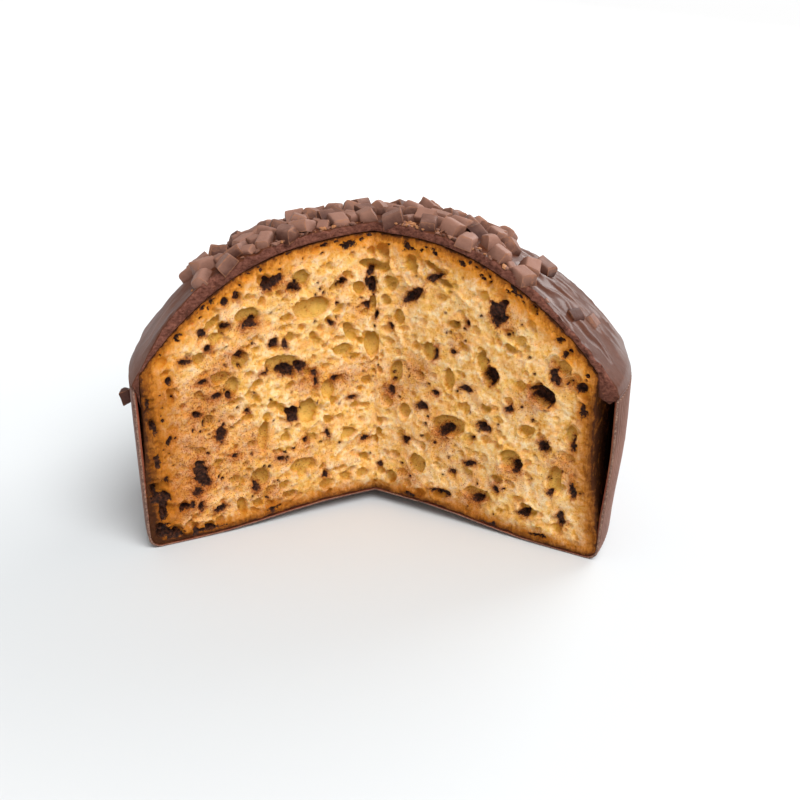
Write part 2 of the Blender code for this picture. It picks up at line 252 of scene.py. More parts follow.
def dress(shader, colour, roughness, specular=0.5, more=None):
    """Sets a shader's colour, roughness and strength of reflection, and more of its inputs by name."""
    looks = {"Base Color": colour, "Roughness": roughness, "Specular IOR Level": specular, **(more or {})}
    for name, value in looks.items():
        Wire.plug(value, shader.inputs[name])


def layered(under, *layers):
    """Colour with others laid over it, each a pair of how much of it shows and what it is."""
    for share, colour in layers:
        under = share.tint(under, colour)
    return under


def grain(place, scale, detail=3.0, roughness=0.55):
    """Noise of about 0 to 1, with features about 1 / scale mm across."""
    sockets = {"Vector": place, "Scale": scale, "Detail": detail, "Roughness": roughness}
    return place.node("ShaderNodeTexNoise", {}, sockets)


def stretch(place, x, y, z):
    """Place stretched along each axis, for patterns that run one way."""
    return place.node("ShaderNodeVectorMath", {"operation": "MULTIPLY"}, {0: place, 1: (x, y, z)})


def emboss(shader, height, depth, strength=1.0):
    """Relief from a pattern of 0 to 1, depth in mm."""
    sockets = {"Height": height, "Distance": depth * MM, "Strength": strength}
    Wire.plug(height.node("ShaderNodeBump", {}, sockets), shader.inputs["Normal"])


def paper_profile(directions, inset):
    """Rings of the case from the crease over the bottom and up the wall, for a skin this far inside."""
    flute = np.cos(np.linspace(0, 2 * np.pi * FLUTES, len(directions)))
    rim_spots = spread(directions, reach(directions, CASE_RIM_RADIUS))
    bearings = np.arctan2(rim_spots[:, 1], rim_spots[:, 0])
    sway = np.array([noise.noise(Vector((*way * 3.0, 0))) for way in directions])
    rings = []
    centre = CASE_FOOT_RADIUS - CORNER
    flat_reach = reach(directions, centre)
    for share in (0.0, 0.12, 0.25, 0.4, 0.55, 0.7, 0.85, 1.0):
        plan = spread(directions, share * flat_reach)
        rings.append(raised(plan, base_rise(np.linalg.norm(plan, axis=1)) + 0.5 * inset))
    for turn in np.radians((18, 36, 54, 72, 90)):
        round_off = CORNER - inset * (0.5 + 0.5 * math.sin(turn))
        radius = centre + round_off * math.sin(turn) - FLUTE_DEPTH * (1 - flute) * 0.5 * math.sin(turn) ** 2
        height = CORNER - round_off * math.cos(turn)
        rings.append(raised(spread(directions, reach(directions, radius)), np.full(len(directions), height)))
    for height in (8, 13, 20, 28, 36, 44, 52, 59, 64, 67, CASE_HEIGHT):
        ripple = FLUTE_DEPTH * (1 - flute) * (0.5 + 0.5 * smooth_step(2, 12, height))
        flare = 0.175 * (1 - sway) * smooth_step(50, CASE_HEIGHT, height)
        radius = case_radius(height) + bulge(bearings, height) - inset - ripple - flare
        rings.append(raised(spread(directions, reach(directions, radius)), np.full(len(directions), height)))
    return np.stack(rings, axis=1)


case_fan = fan(FLUTES * 8 + 1)
outer_paper, inner_paper = paper_profile(case_fan, 0.0), paper_profile(case_fan, PAPER)

paper, shader, place = new_finish("baking_paper")
fibres = grain(stretch(place, 1, 1, 0.25), 1.4, 4.0, 0.6)
blotches = grain(place, 0.05)
soak = grain(place, 0.022, 4.0, 0.6).rise(0.5, 0.72)
brown = layered(
    blotches.rise(0.3, 0.7).tint((0.145, 0.060, 0.038), (0.215, 0.098, 0.066)),
    (fibres.rise(0.35, 0.75) * 0.35, (0.30, 0.165, 0.115)),
    (soak * 0.6, (0.062, 0.024, 0.014)),
)
sheen = {"Sheen Weight": 0.25, "Sheen Tint": (0.9, 0.75, 0.75)}
dress(shader, brown, 0.62 - soak * 0.22 + fibres * 0.12, 0.3, sheen)
emboss(shader, fibres, 0.12, 0.7)

inner_side, shader, place = new_finish("baking_paper_inside")
fibres = grain(stretch(place, 1, 1, 0.25), 1.4, 4.0, 0.6)
grease = grain(place, 0.12, 4.0, 0.6).rise(0.35, 0.7)
dress(shader, grease.tint((0.30, 0.070, 0.035), (0.42, 0.140, 0.070)), 0.45 + fibres * 0.2)
emboss(shader, fibres, 0.12, 0.7)

torn_edge, shader, place = new_finish("baking_paper_edge")
fluff = grain(place, 1.2, 4.0, 0.7)
dress(shader, fluff.rise(0.35, 0.75).tint((0.105, 0.046, 0.036), (0.42, 0.25, 0.17)), 0.85)
emboss(shader, fluff, 0.3, 0.8)

skins = np.stack((outer_paper, inner_paper), axis=2)
case_sheets = [
    lay_sheet("case_outside", outer_paper),
    lay_sheet("case_inside", inner_paper),
    lay_sheet("case_rim", skins[:, -1]),
    lay_sheet("case_left_edge", skins[0]),
    lay_sheet("case_right_edge", skins[-1]),
]
give_finishes(case_sheets, (0, 1, 2, 2, 2), (paper, inner_side, torn_edge))
paper_case = close_up("fluted_case", case_sheets)
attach(paper_case, "root")
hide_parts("paper_case")


# The loaf
# Rich yeast dough with chocolate pieces in it, baked tall and cooled upside down. The knife laid open
# a torn, feathery crumb with round pores, melted chocolate in their bottoms and a thin brown crust.

DOUGH_FLOOR, DOUGH_CORNER = 1.15, 3.85
CROWN, SHOULDER, SHOULDER_RADIUS, DOME_POWER = 116.5, 71.0, 95.0, 2.55
LOAF_GAP = 1.05
SMALL_PORES, SPECKS, SCORCHED_SPOTS = 1750, 190, 54
FACE_COLUMNS, FACE_ROWS, SHELL_STEPS = 172, 206, 21


def shrinkage(bearing, height):
    """How far the crust stands back from the paper, most of it beside the two cuts."""
    right, left = 5.4 * toward(bearing, RIGHT_CUT, 17), 2.3 * toward(bearing, LEFT_CUT, 14)
    return right * smooth_step(4, 46, height) + left * smooth_step(18, 58, height)


def loaf_radius(bearing, height):
    return case_radius(height) - LOAF_GAP - shrinkage(bearing, height)


def noise_at(places, scale, layer=0.0, pattern=noise.noise):
    """A pattern's values at flat places, with features about scale mm across. Noise is about -1 to 1."""
    values = [pattern(Vector((a, b, layer))) for a, b in (places / scale).reshape(-1, 2).tolist()]
    return np.reshape(values, places.shape[:-1])


def crust_lump(plan):
    """Soft lumps of the risen crust, fading out at the crown and at the shoulder."""
    share = np.minimum(1.0, np.linalg.norm(plan, axis=-1) / SHOULDER_RADIUS)
    return noise_at(plan, 34) * share * (1 - share) * 4


def dome_height(plan):
    share = np.minimum(1.0, np.linalg.norm(plan, axis=-1) / SHOULDER_RADIUS)
    return CROWN - (CROWN - SHOULDER) * share**DOME_POWER + crust_lump(plan)


def dough_reach(directions, heights):
    """Distance from the crease to the crust, at each direction and height."""
    along = reach(directions, 93.0)
    for _pass in range(3):
        hit = spread(directions, along)
        bearings = np.arctan2(hit[..., 1], hit[..., 0])
        along = reach(directions, loaf_radius(bearings, np.minimum(heights, CASE_HEIGHT)))
    return along


def dough_points(directions, across, upward):
    """Points of the loaf: across goes from the crease to the crust, upward from underside to dome."""
    directions, across, upward = np.broadcast_arrays(directions, across[..., None], upward[..., None])
    across, upward = across[..., 0], upward[..., 0]
    top_reach = dough_reach(directions, np.full(across.shape, CASE_HEIGHT))
    top = dome_height(spread(directions, across * top_reach))
    foot_reach = dough_reach(directions, np.full(across.shape, 1.0))
    foot_radius = np.linalg.norm(spread(directions, across * foot_reach), axis=-1)
    rounding = np.clip(foot_radius - (CASE_FOOT_RADIUS - CORNER), 0, DOUGH_CORNER)
    low = DOUGH_FLOOR + base_rise(foot_radius) + DOUGH_CORNER - np.sqrt(DOUGH_CORNER**2 - rounding**2)
    height = low + upward * (top - low)
    return raised(spread(directions, across * dough_reach(directions, height)), height)


# What the knife laid open, as seen from the front with both faces unrolled side by side: distance from
# the crease (left of it below 0), height, width, height of the thing, and its turn in degrees, which is
# left out where it is 0. A stain has its distance, height and size.
ROUND_PORES = [
    (-30, 102, 7, 7), (-39, 97, 3, 3), (-26, 89, 15, 9, 5), (-52, 90, 10, 7), (-15, 97, 8, 3.5, 25),
    (-66, 89, 9, 3.5, 45), (-64, 83, 10, 3.5, 48), (-10, 77, 5, 9, 20), (-2, 71, 7, 11, -10),
    (-14, 70, 8, 5.5), (-56, 73, 7, 8), (-72, 76, 5, 5), (-39, 68, 15, 8, -5), (-60, 62, 6, 9, -20),
    (-29, 46, 8, 11, -10), (-50, 21, 8, 9, 25), (-58, 10, 4.5, 8, 10), (-78, 6, 3.5, 3.5),
    (-48, 39, 4.5, 14, -8), (-32, 23, 12, 6), (-64, 67, 8, 5, 10), (-20, 54, 6, 9), (-12, 33, 7, 5, 20),
    (-44, 52, 5, 4), (-70, 50, 5, 5), (-38, 11, 7, 4), (-22, 12, 6, 5), (-84, 63, 3, 7, 10),
    (1, 104, 14, 4.5, -10), (27, 106, 10, 3, -28), (25, 72, 6, 8), (52, 67, 7, 8), (48, 72, 4.5, 9),
    (5, 110, 6, 6), (17, 106, 5, 8, 30), (31, 101, 8, 3, -25), (-6, 95, 5, 6), (8, 97, 4, 7, 15),
    (82, 77, 6, 6), (69, 98, 4, 5, -35), (74, 64, 11, 9, -15), (6, 90, 4, 5), (12, 84, 5, 7),
    (36, 85, 6, 4, 10), (34, 62, 5, 10), (60, 80, 6, 4, -20), (10, 60, 6, 10, -10), (90, 70, 4, 5),
    (34, 42, 15, 9, 10), (62, 34, 10, 8, -25), (20, 22, 8, 9), (80, 30, 6, 12, -10), (47, 15, 11, 6),
    (68, 48, 7, 5, 15), (14, 44, 5, 7), (86, 50, 5, 8, -5), (30, 10, 6, 4), (70, 14, 8, 5, -20),
    (50, 53, 5, 4), (56, 24, 5, 4), (8, 13, 5, 6),
]
CHOCOLATE_SPOTS = [
    (-42, 102, 11, 4.5, 22), (-33, 99, 6, 5, -20), (-56, 99, 3, 4.5, 25), (-61, 97, 3, 3.5),
    (-66, 98, 2, 3), (-51, 86.5, 6.5, 2.6), (-13, 98.5, 3.4, 3.4), (-70, 85.5, 3, 3.4),
    (-61, 87, 4.5, 2.4, 35), (-68, 79.5, 3, 2.6, 40), (-42, 77, 4.2, 4.2), (-37.5, 76, 2.4, 4),
    (-56, 74.5, 5, 3.2, -20), (-78, 75.5, 5, 2.8, 10), (-37, 65, 10, 4.2, -8), (-31, 66, 5, 5),
    (-46, 66, 5, 2, 15), (-61, 58.5, 2.8, 2.2), (-71, 66.5, 4, 2.4), (-66, 59.5, 4, 2.6),
    (-25.5, 62, 2.2, 3), (-25, 58, 2, 3.5), (-17, 58.5, 4, 2.2), (-35, 46, 7.5, 7.5, 10),
    (-65, 43, 5, 8, -15), (-74, 28, 6.5, 13, 8), (-76, 20.5, 4, 5), (-72, 24, 4, 5, 30), (-52, 17, 3, 4.5),
    (-91, 51, 2, 7.5, 3), (-86, 45, 2.4, 6, -25), (-91, 37, 3, 7), (-90, 17, 4.5, 13),
    (-81, 15, 7, 2.4, 20), (-75, 14, 2.4, 4), (-67, 11, 6.5, 3.6, 20), (-73, 3.4, 13, 2.2),
    (-91, 6.5, 7, 7), (-87, 4, 8, 4), (-93, 24, 3, 9), (-93, 60, 1.6, 6), (-74, 53, 3.4, 2.4),
    (-21, 35, 2.2, 5, 20), (-18, 82, 2.4, 2), (0, 96, 5, 9.5, 8), (-1, 101, 4, 3), (-3, 88, 3, 3),
    (-10, 112.6, 7, 2, 5), (3, 84, 2.4, 4, -20), (-10, 49, 3, 2.2), (-5, 30, 4, 2.4, 30), (-30, 34, 2.2, 3),
    (-41, 28, 4, 2, -20), (-22, 16, 3, 2.2), (-45, 6, 6, 2, 5), (-60, 33, 2.6, 2.2), (-84, 69, 2.6, 3.4),
    (-80, 86, 3, 2, 40), (-54, 51, 2.2, 2.2), (-88, 28, 2, 3), (-34, 2.8, 7, 1.6), (18, 94, 12, 4.6, 38),
    (27, 102.5, 8, 2.6, 15), (15, 113, 3.2, 4.5, 35), (54, 93, 7, 11, 12), (28, 71.5, 3.8, 6, -10),
    (52, 67, 6.5, 7), (50, 73, 2, 2), (78.5, 73, 4.2, 7, 10), (74, 63.5, 11, 6.5, -20),
    (41, 59.5, 6, 3, 10), (89, 70, 4, 5, 30), (39, 110, 3.4, 2, -25), (48, 110.5, 5, 2.2, -30),
    (61, 103, 2.2, 6, 30), (79, 87, 3, 2.2), (69, 98, 3, 2, -40), (42, 87, 2, 2.4), (36, 74, 2, 2),
    (82, 82, 2, 3), (90, 61, 2.4, 7), (9, 80, 2.2, 3), (22, 48, 5.5, 4.5, 20), (50, 45, 7.5, 4.2, -15),
    (75, 43, 4.5, 6.5, 10), (87, 46, 2.6, 6), (14, 31, 4.5, 4), (44, 28, 6.5, 3, 30), (32, 39, 7, 4, 10),
    (64, 31, 5, 4.6), (30, 12, 8.5, 3), (68, 12, 5.5, 3.8), (84, 14, 3.6, 8), (56, 20, 3, 3),
    (88, 27, 3, 7, 10), (47, 12.6, 6, 2.4), (8, 52, 3, 4), (60, 55, 4, 2.4, 25), (36, 22, 2.6, 3),
    (16, 7, 6, 2.2, -8), (74, 4.2, 9, 2), (52, 3.4, 8, 1.8), (28, 55, 3, 2.4), (3, 18, 2.6, 3.2),
    (79, 24, 2.6, 2.4),
]
TORN_FLAPS = [
    (9, 104, 1.6, 13, 28), (14, 101, 1.4, 11, 35), (20, 104, 1.5, 9, 40), (5, 99, 1.6, 9, -8),
    (-5, 100, 1.4, 8, 5), (32, 98, 1.4, 10, 48), (12, 76, 1.4, 12, 15), (-4, 84, 1.5, 8, -25),
    (40, 96, 1.2, 8, 55), (-12, 60, 1.3, 9, 30), (66, 73, 1.3, 8, -20), (44, 74, 1.3, 9, 5),
    (-20, 76, 1.3, 8, -40), (58, 40, 1.4, 9, 35), (26, 30, 1.4, 9, -30),
]
STAINS = [
    (-72, 58, 18), (-80, 40, 15), (-62, 72, 9), (-66, 25, 17), (-38, 100, 7), (-20, 95, 6), (-8, 86, 8),
    (-50, 36, 12), (-82, 22, 12), (-30, 26, 11), (-88, 62, 9), (20, 62, 8), (-4, 62, 8), (60, 90, 8),
    (84, 72, 7), (-52, 84, 8), (8, 50, 10), (-14, 56, 8), (38, 80, 7), (30, 36, 12), (70, 60, 10),
    (60, 26, 10), (84, 36, 9), (-28, 60, 8), (-44, 12, 12), (-84, 10, 10), (16, 14, 9), (46, 10, 10),
]

face_fan = np.array([LEFT_FACE] * (FACE_COLUMNS + 1) + [RIGHT_FACE] * FACE_COLUMNS)
across = np.abs(np.linspace(-1, 1, 2 * FACE_COLUMNS + 1))
upward = np.linspace(0, 1, FACE_ROWS + 1)
flat_face = dough_points(face_fan[:, None], across[:, None], upward[None])
side = np.where(np.arange(2 * FACE_COLUMNS + 1) < FACE_COLUMNS, -1.0, 1.0)[:, None]
along = side * np.linalg.norm(flat_face[..., :2] - CREASE, axis=-1)
up = flat_face[..., 2]
middle_row = along[:, FACE_ROWS // 2]
unrolled = np.stack((along, up), axis=-1)


def near(thing, grow=1.0):
    """Columns that a thing can touch, and how far they lie from its middle, 1 at its edge."""
    centre, level, wide, high, turn = (*thing, 0)[:5]
    size = max(wide, high) * grow
    first = max(0, np.searchsorted(middle_row, centre - size) - 16)
    last = np.searchsorted(middle_row, centre + size) + 16
    lines = slice(first, last)
    right, rise = along[lines] - centre, up[lines] - level
    lean = math.radians(turn)
    wide_part = (right * math.cos(lean) + rise * math.sin(lean)) / (wide / 2)
    high_part = (rise * math.cos(lean) - right * math.sin(lean)) / (high / 2)
    return lines, np.hypot(wide_part, high_part)


rng = random.Random(11)
coarse, middling = noise_at(unrolled, 19.0, 0.3), noise_at(unrolled, 6.0, 4.1)
fine, wobble = noise_at(unrolled, 1.5, 9.7), noise_at(unrolled, 2.2, 14.2)
radius = np.linalg.norm(flat_face[..., :2], axis=-1)
steepest = (CROWN - SHOULDER) * DOME_POWER / SHOULDER_RADIUS
slope = steepest * np.minimum(1, radius / SHOULDER_RADIUS) ** (DOME_POWER - 1)
wall_gap = (1 - across[:, None]) * np.abs(along[[0, -1]]).mean()
top_gap = (dome_height(flat_face[..., :2]) - up) / np.sqrt(1 + slope**2)
low_gap = up - up[:, :1] + 3.0 * smooth_step(0, 8, up - up[:, :1])
crust = np.minimum(np.minimum(wall_gap, top_gap), low_gap)

hollow, lips, overhang = np.zeros((3, *along.shape))
chocolate = np.full(along.shape, -3.0)
stain = 0.22 + 0.25 * coarse

small_pores = []
for _pore in range(SMALL_PORES):
    spot = (rng.uniform(-97, 97), rng.uniform(2, 117))
    size = 1.2 + 4.2 * rng.random() ** 3.4
    shape = rng.uniform(0.5, 1.0)
    turn = rng.gauss(0, 35)
    if spot[0] < 4 or size > 3.4 or rng.random() < 0.5:
        small_pores.append((*spot, size, size * shape, turn))
for index, pore in enumerate(ROUND_PORES + small_pores):
    large = index < len(ROUND_PORES)
    lines, gap = near(pore)
    if lines.stop <= lines.start:
        continue
    narrow = min(pore[2:4])
    deep = 0.36 * narrow + 1.4 if large else 0.62 * narrow + 0.1
    deep = deep * (1.5 if large and -8 < pore[0] < 32 and pore[1] > 95 else 1)
    deep = deep * (1 if large or pore[0] <= 4 else 0.7)
    rough = gap * (1 + (0.08 if large else 0.30) * wobble[lines])
    bowl = deep * np.sqrt(np.clip(1 - rough**2, 0, 1)) ** 0.8
    hollow[lines] = np.maximum(hollow[lines], bowl)
    # The upper inside of each pore is marked for painted shade: darker under its lip, as if lit from above.
    painted_lip_shade = smooth_step(-0.5, 1.0, (up[lines] - pore[1]) / (pore[3] / 2)) * smooth_step(0, 0.5, bowl)
    overhang[lines] = np.maximum(overhang[lines], painted_lip_shade * (1 if large else 0.65))
    lip = min(0.7, 0.12 * pore[2]) * (1 if large else 0.6)
    lips[lines] = np.maximum(lips[lines], lip * bell(rough, 1.14, 0.16))
lobes = []
for spot in CHOCOLATE_SPOTS:
    centre, level, wide, high, turn = (*spot, 0)[:5]
    size = max(wide, high)
    core = 0.85 if size > 4 else 1
    lobes.append((centre, level, wide * core, high * core, turn))
    for _lobe in range(rng.choice((1, 2, 3)) if size > 4 else 0):
        swing, out = rng.uniform(0, 2 * math.pi), rng.uniform(0.25, 0.5)
        right, rise = out * wide * math.cos(swing), out * high * math.sin(swing)
        lean = math.radians(turn)
        beside = centre + right * math.cos(lean) - rise * math.sin(lean)
        above = level + right * math.sin(lean) + rise * math.cos(lean)
        small = rng.uniform(0.22, 0.42) * size
        lobes.append((beside, above, small, small * rng.uniform(0.6, 1.0), rng.uniform(-90, 90)))
for spot in lobes:
    lines, gap = near(spot, 1.6)
    edge = (1 - gap * (1 + 0.32 * wobble[lines] + 0.26 * fine[lines])) * min(spot[2], spot[3]) / 2
    chocolate[lines] = np.maximum(chocolate[lines], edge)
    stain[lines] = np.maximum(stain[lines], 0.75 * np.exp(-np.maximum(0, -edge) / 2.2))
for centre, level, wide in STAINS:
    lines, gap = near((centre, level, 2 * wide, 2 * wide, 0))
    stain[lines] = stain[lines] + 0.45 * np.exp(-(gap**2) * 1.6)
for _speck in range(SPECKS):
    patch = rng.choice(STAINS)
    if rng.random() < 0.45:
        spot = (rng.uniform(-92, 92), rng.uniform(3, 112))
    else:
        spot = (patch[0] + rng.gauss(0, 0.55) * patch[2], patch[1] + rng.gauss(0, 0.55) * patch[2])
    size = rng.uniform(0.7, 1.7)
    lines, gap = near((*spot, size, size * rng.uniform(0.5, 1), rng.uniform(-90, 90)), 1.6)
    if lines.stop > lines.start:
        chocolate[lines] = np.maximum(chocolate[lines], (1 - gap) * size / 2)
for _scorch in range(SCORCHED_SPOTS):
    column = rng.randrange(6, len(along) - 6)
    size = rng.uniform(0.9, 2.6)
    spot = (along[column, -1], up[column, -1] - rng.uniform(0.6, 5.5))
    lines, gap = near((*spot, size, size * rng.uniform(0.4, 0.8), rng.uniform(-60, 60)), 1.6)
    chocolate[lines] = np.maximum(chocolate[lines], (1 - gap * (1 + 0.4 * fine[lines])) * size / 2)
for flap in TORN_FLAPS:
    lines, gap = near(flap)
    lips[lines] = np.maximum(lips[lines], 1.5 * np.exp(-(gap**2) * 1.3) * (1 + 0.5 * fine[lines]))

melted = smooth_step(-0.15, 0.35, chocolate)
calm = np.clip(1 - smooth_step(1.0, 2.4, hollow), 0, 1) * (1 - melted)
bubbles = noise_at(unrolled, 2.3, 0.5, lambda spot: noise.voronoi(spot)[0][0])
feathers = noise_at(unrolled, 2.7, 21.0)
relief = -1.3 * coarse - 0.8 * middling - hollow + lips * (0.4 + 0.6 * calm)
lift = (0.8 * (np.minimum(bubbles, 1) - 0.5) + 0.26 * fine) * np.where(side < 0, 1, 0.55) + 0.5 * feathers
relief = relief + calm * lift
rumpled = 0.9 * noise_at(unrolled, 2.4, 33.0) + 0.45 * noise_at(unrolled, 1.1, 35.0)
relief = relief + melted * (rumpled - 1.3)
relief = relief * (0.22 + 0.78 * smooth_step(0.2, 3.5, crust))
relief = relief + 2.6 * bell(along, 0, 7.0) * smooth_step(0, 9, crust)
outward = np.where(side < 0, LEFT_OUT, RIGHT_OUT)
turn_in = smooth_step(0.0, 5.0, np.abs(along))[..., None]
outward = np.array((0.0, -1.0)) * (1 - turn_in) + outward[:, None] * turn_in
outward = outward / np.linalg.norm(outward, axis=-1, keepdims=True)
cut_face = flat_face.copy()
cut_face[..., :2] += outward * relief[..., None]
crease_sway = np.array([noise.noise(Vector((0, 0, height / 15))) for height in up[FACE_COLUMNS]])
cut_face[..., 0] += 4.2 * crease_sway * bell(along, 0, 14.0) * smooth_step(0, 9, crust)

shell_fan = fan(SHELL_STEPS)
steps = np.linspace(0, 1, FACE_COLUMNS + 1)
underside = dough_points(shell_fan[:, None], steps[None], np.zeros((1, 1)))
wall = dough_points(shell_fan[:, None], np.ones((1, 1)), upward[None, 1:])
roof = dough_points(shell_fan[:, None], steps[None, -2::-1], np.ones((1, 1)))
shell = np.concatenate((underside, wall, roof), axis=1)
for end, face in ((0, cut_face[FACE_COLUMNS::-1]), (-1, cut_face[FACE_COLUMNS:])):
    shell[end] = np.concatenate((face[:, 0], face[-1, 1:], face[-2::-1, -1]))
shell[:, 0], shell[:, -1] = cut_face[FACE_COLUMNS, 0], cut_face[FACE_COLUMNS, -1]
blank = np.zeros(shell.shape[:2])
browned = np.minimum(wall_gap * np.where(side < 0, 0.48, 0.8), top_gap * np.where(side < 0, 1.0, 0.8))
browned = np.minimum(browned, low_gap * 0.85)
browned = browned - np.where(side < 0, 2.0 * np.exp(-np.hypot(wall_gap * 0.8, low_gap * 0.5) / 11), 0)
face_marks = {"chocolate": chocolate, "hollow": hollow, "crust": browned, "stain": stain}
face_marks |= {"lift": lift, "overhang": overhang}
shell_marks = dict.fromkeys(face_marks, blank) | {"chocolate": blank - 3}

crumb, shader, place = new_finish("crumb")
mark = {name: place.mark(name) for name in face_marks}
warp = place.node("ShaderNodeTexNoise", {}, {"Vector": place, "Scale": 0.6, "Detail": 2.0}, 1)
bend = {0: warp, 1: (1.6, 1.6, 1.6), 2: place}
bent = place.node("ShaderNodeVectorMath", {"operation": "MULTIPLY_ADD"}, bend)
bubble = place.node("ShaderNodeTexVoronoi", {}, {"Vector": bent, "Scale": 0.62})
froth = place.node("ShaderNodeTexVoronoi", {}, {"Vector": bent, "Scale": 1.35})
tone = grain(place, 0.10, 3.0, 0.6)
tuft = grain(bent, 0.60, 4.0, 0.6)
speckle = grain(place, 1.5, 2.0, 0.7)
open_part = mark["hollow"].rise(1.0, 2.4)
clump = grain(bent, 0.24, 3.0, 0.6)
blush = grain(stretch(place, 1, 1, 1.3), 0.17, 2.0, 0.5)
# The crumb's tone on the flour ramp below. Its noise terms are the crumb's own mottling, tufts and strands;
# the rest is painted shade: the bubble and froth cells darker in their middles, raised crumb (lift) lighter
# and the pores (hollow) darker.
light = bubble.rise(0.1, 0.85) * 0.14 + froth.rise(0.05, 0.8) * 0.08 + tuft.rise(0.22, 0.78) * 0.26
strand = grain(stretch(place, 1, 1, 0.4), 1.1, 3.0, 0.6)
light = light + clump.rise(0.28, 0.72) * 0.40 + mark["lift"] * 0.28 + mark["hollow"] * -0.10
light = light + strand * 0.36 - 0.05
flour = place.node("ShaderNodeValToRGB", {}, {0: light})
stops = flour.socket.node.color_ramp.elements
for _stop in range(2):
    stops.new(0.5)
tones = ((0.46, 0.140, 0.006), (0.72, 0.330, 0.044), (0.89, 0.530, 0.175), (0.94, 0.735, 0.445))
for stop, level, colour in zip(stops, (0.06, 0.28, 0.52, 0.84), tones):
    stop.position, stop.color = level, (*colour, 1.0)
# Inside the larger pores: a smoother, more saturated colour, partly the smoother pore walls and partly
# painted shade and warm bounce light deep in them.
pore_wall_and_shade = (mark["hollow"] + clump * 2.0 - 1.0).rise(1.2, 3.6)
pore_wall_and_shade = pore_wall_and_shade.tint((0.58, 0.32, 0.036), (0.80, 0.53, 0.125))
smear = (mark["stain"] + tuft * 0.7 + clump * 0.7 - 0.82).rise(0.10, 0.90) * (1 - open_part * 0.5)
freckle = grain(bent, 0.85, 3.0, 0.75) + mark["stain"] * 0.12
fibre = grain(stretch(place, 1, 1, 0.22), 0.95, 4.0, 0.65)
high_up = place.part(2).rise(58, 82)
depth_in = mark["crust"] + tuft * 3.5 + clump * 4.0 + fibre * 5.0 - 6.4
baked = high_up.tint((0.45, 0.145, 0.010), (0.68, 0.240, 0.017))
crust_brown = high_up.tint((0.13, 0.036, 0.007), (0.25, 0.066, 0.008))
golden = layered(
    flour,
    (tone.rise(0.45, 0.7) * 0.40, (0.78, 0.485, 0.100)),
    (blush.rise(0.46, 0.66) * 0.38, (0.90, 0.430, 0.150)),
    (open_part * 0.75, pore_wall_and_shade),
    # Painted shade under the lips of the pores.
    ((mark["overhang"] + tuft * 0.5 - 0.25).rise(0.15, 0.95) * 0.72, (0.27, 0.102, 0.006)),
    (smear * 0.70, (0.47, 0.135, 0.018)),
    (freckle.rise(0.54, 0.72) * 0.50, (0.60, 0.175, 0.030)),
    ((speckle + mark["stain"] * 0.20).rise(0.67, 0.78) * 0.80, (0.26, 0.062, 0.013)),
    ((mark["chocolate"] + tuft * 2.4 - 1.2).rise(-1.1, 0.3) * 0.65, (0.28, 0.076, 0.016)),
    (depth_in.rise(9.6, 1.6) * 0.92, baked),
    (depth_in.rise(3.2, 0.2) * 0.84, crust_brown),
    ((mark["crust"] + tuft * 1.6 + clump * 3.4 - 2.2).rise(1.0, 0.25) * 0.90, (0.050, 0.016, 0.007)),
)
glow = {"Subsurface Weight": 0.28, "Subsurface Radius": (1.0, 0.55, 0.15), "Subsurface Scale": 0.0018}
dress(shader, golden, 0.9, 0.1, glow)
emboss(shader, bubble * 0.45 + froth * 0.25 + tuft * 0.8, 0.7, 0.6)
nodes = crumb.node_tree.nodes
melt = nodes.new("ShaderNodeBsdfPrincipled")
gloss = grain(place, 0.9)
dark = gloss.rise(0.35, 0.75).tint((0.012, 0.0038, 0.0024), (0.095, 0.030, 0.013))
dress(melt, dark, 0.30 + gloss * 0.3, 0.16)
emboss(melt, grain(place, 1.1, 3.0, 0.6), 0.9, 0.9)
drop_edge = mark["chocolate"] + grain(place, 1.3, 3.0, 0.6) * 1.9 - 0.95
shaders = {0: drop_edge.rise(-0.15, 0.25), 1: Wire(shader.outputs[0]), 2: Wire(melt.outputs[0])}
Wire.plug(place.node("ShaderNodeMixShader", {}, shaders), nodes["Material Output"].inputs["Surface"])

loaf_sheets = [lay_sheet("loaf_cut", cut_face, **face_marks), lay_sheet("loaf_crust", shell, **shell_marks)]
give_finishes(loaf_sheets, (0, 0), (crumb,))
loaf = close_up("cut_loaf", loaf_sheets)
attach(loaf, "root")
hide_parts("loaf")


# The chocolate coating
# Dark chocolate poured over the baked dome. It ran down in folds and drips over the paper's rim, set
# glossy, and ran a little way down between crust and paper where the crust had shrunk back.

COATING_TOP, COATING_EDGE, COATING_RADIUS, COATING_POWER = 120.6, 71.2, 98.0, 2.6
DRIP_LENGTH, DRIP_THICKNESS, KEEL = 13.0, 1.8, 8.0
DRIPS = np.radians((34, 61, 97, 127, 150))
GAP_TO_CRUST = 0.56
COATING_STEPS, COATING_ROWS, HEM_ROWS, BAND_ROWS = 330, 104, 16, 6


def coating_height(plan):
    """Outside of the coating: thicker by the left cut, in folds where it ran down."""
    radius, bearing = np.linalg.norm(plan, axis=-1), np.arctan2(plan[..., 1], plan[..., 0])
    fall = (COATING_TOP - COATING_EDGE) * (radius / COATING_RADIUS) ** COATING_POWER
    fill = 2.6 * toward(bearing, LEFT_CUT, 24) * bell(radius, 66, 16)
    folds = 0.9 * np.sin(bearing * 17 + radius / 16)
    folds = folds * smooth_step(48, 66, radius) * (1 - smooth_step(82, 93, radius))
    return COATING_TOP - fall + crust_lump(plan) + fill + folds + 0.5 * noise_at(plan, 22)


def lap(bearing, near_cut, far):
    """0 beside the two cuts, where the coating stays inside the paper, 1 where it laps over the rim."""
    gap = np.minimum(bearing_gap(bearing, LEFT_CUT), bearing_gap(bearing, RIGHT_CUT))
    return smooth_step(math.radians(near_cut), math.radians(far), gap)


def drip(bearing):
    """0 where the coating stops at the rim, 1 in the middle of a run down the paper."""
    runs = [
        toward(bearing, run, 5.0 + 1.5 * (index % 3)) * (1.0, 0.55, 0.8)[index % 3]
        for index, run in enumerate(DRIPS)
    ]
    return np.max(runs, axis=0)


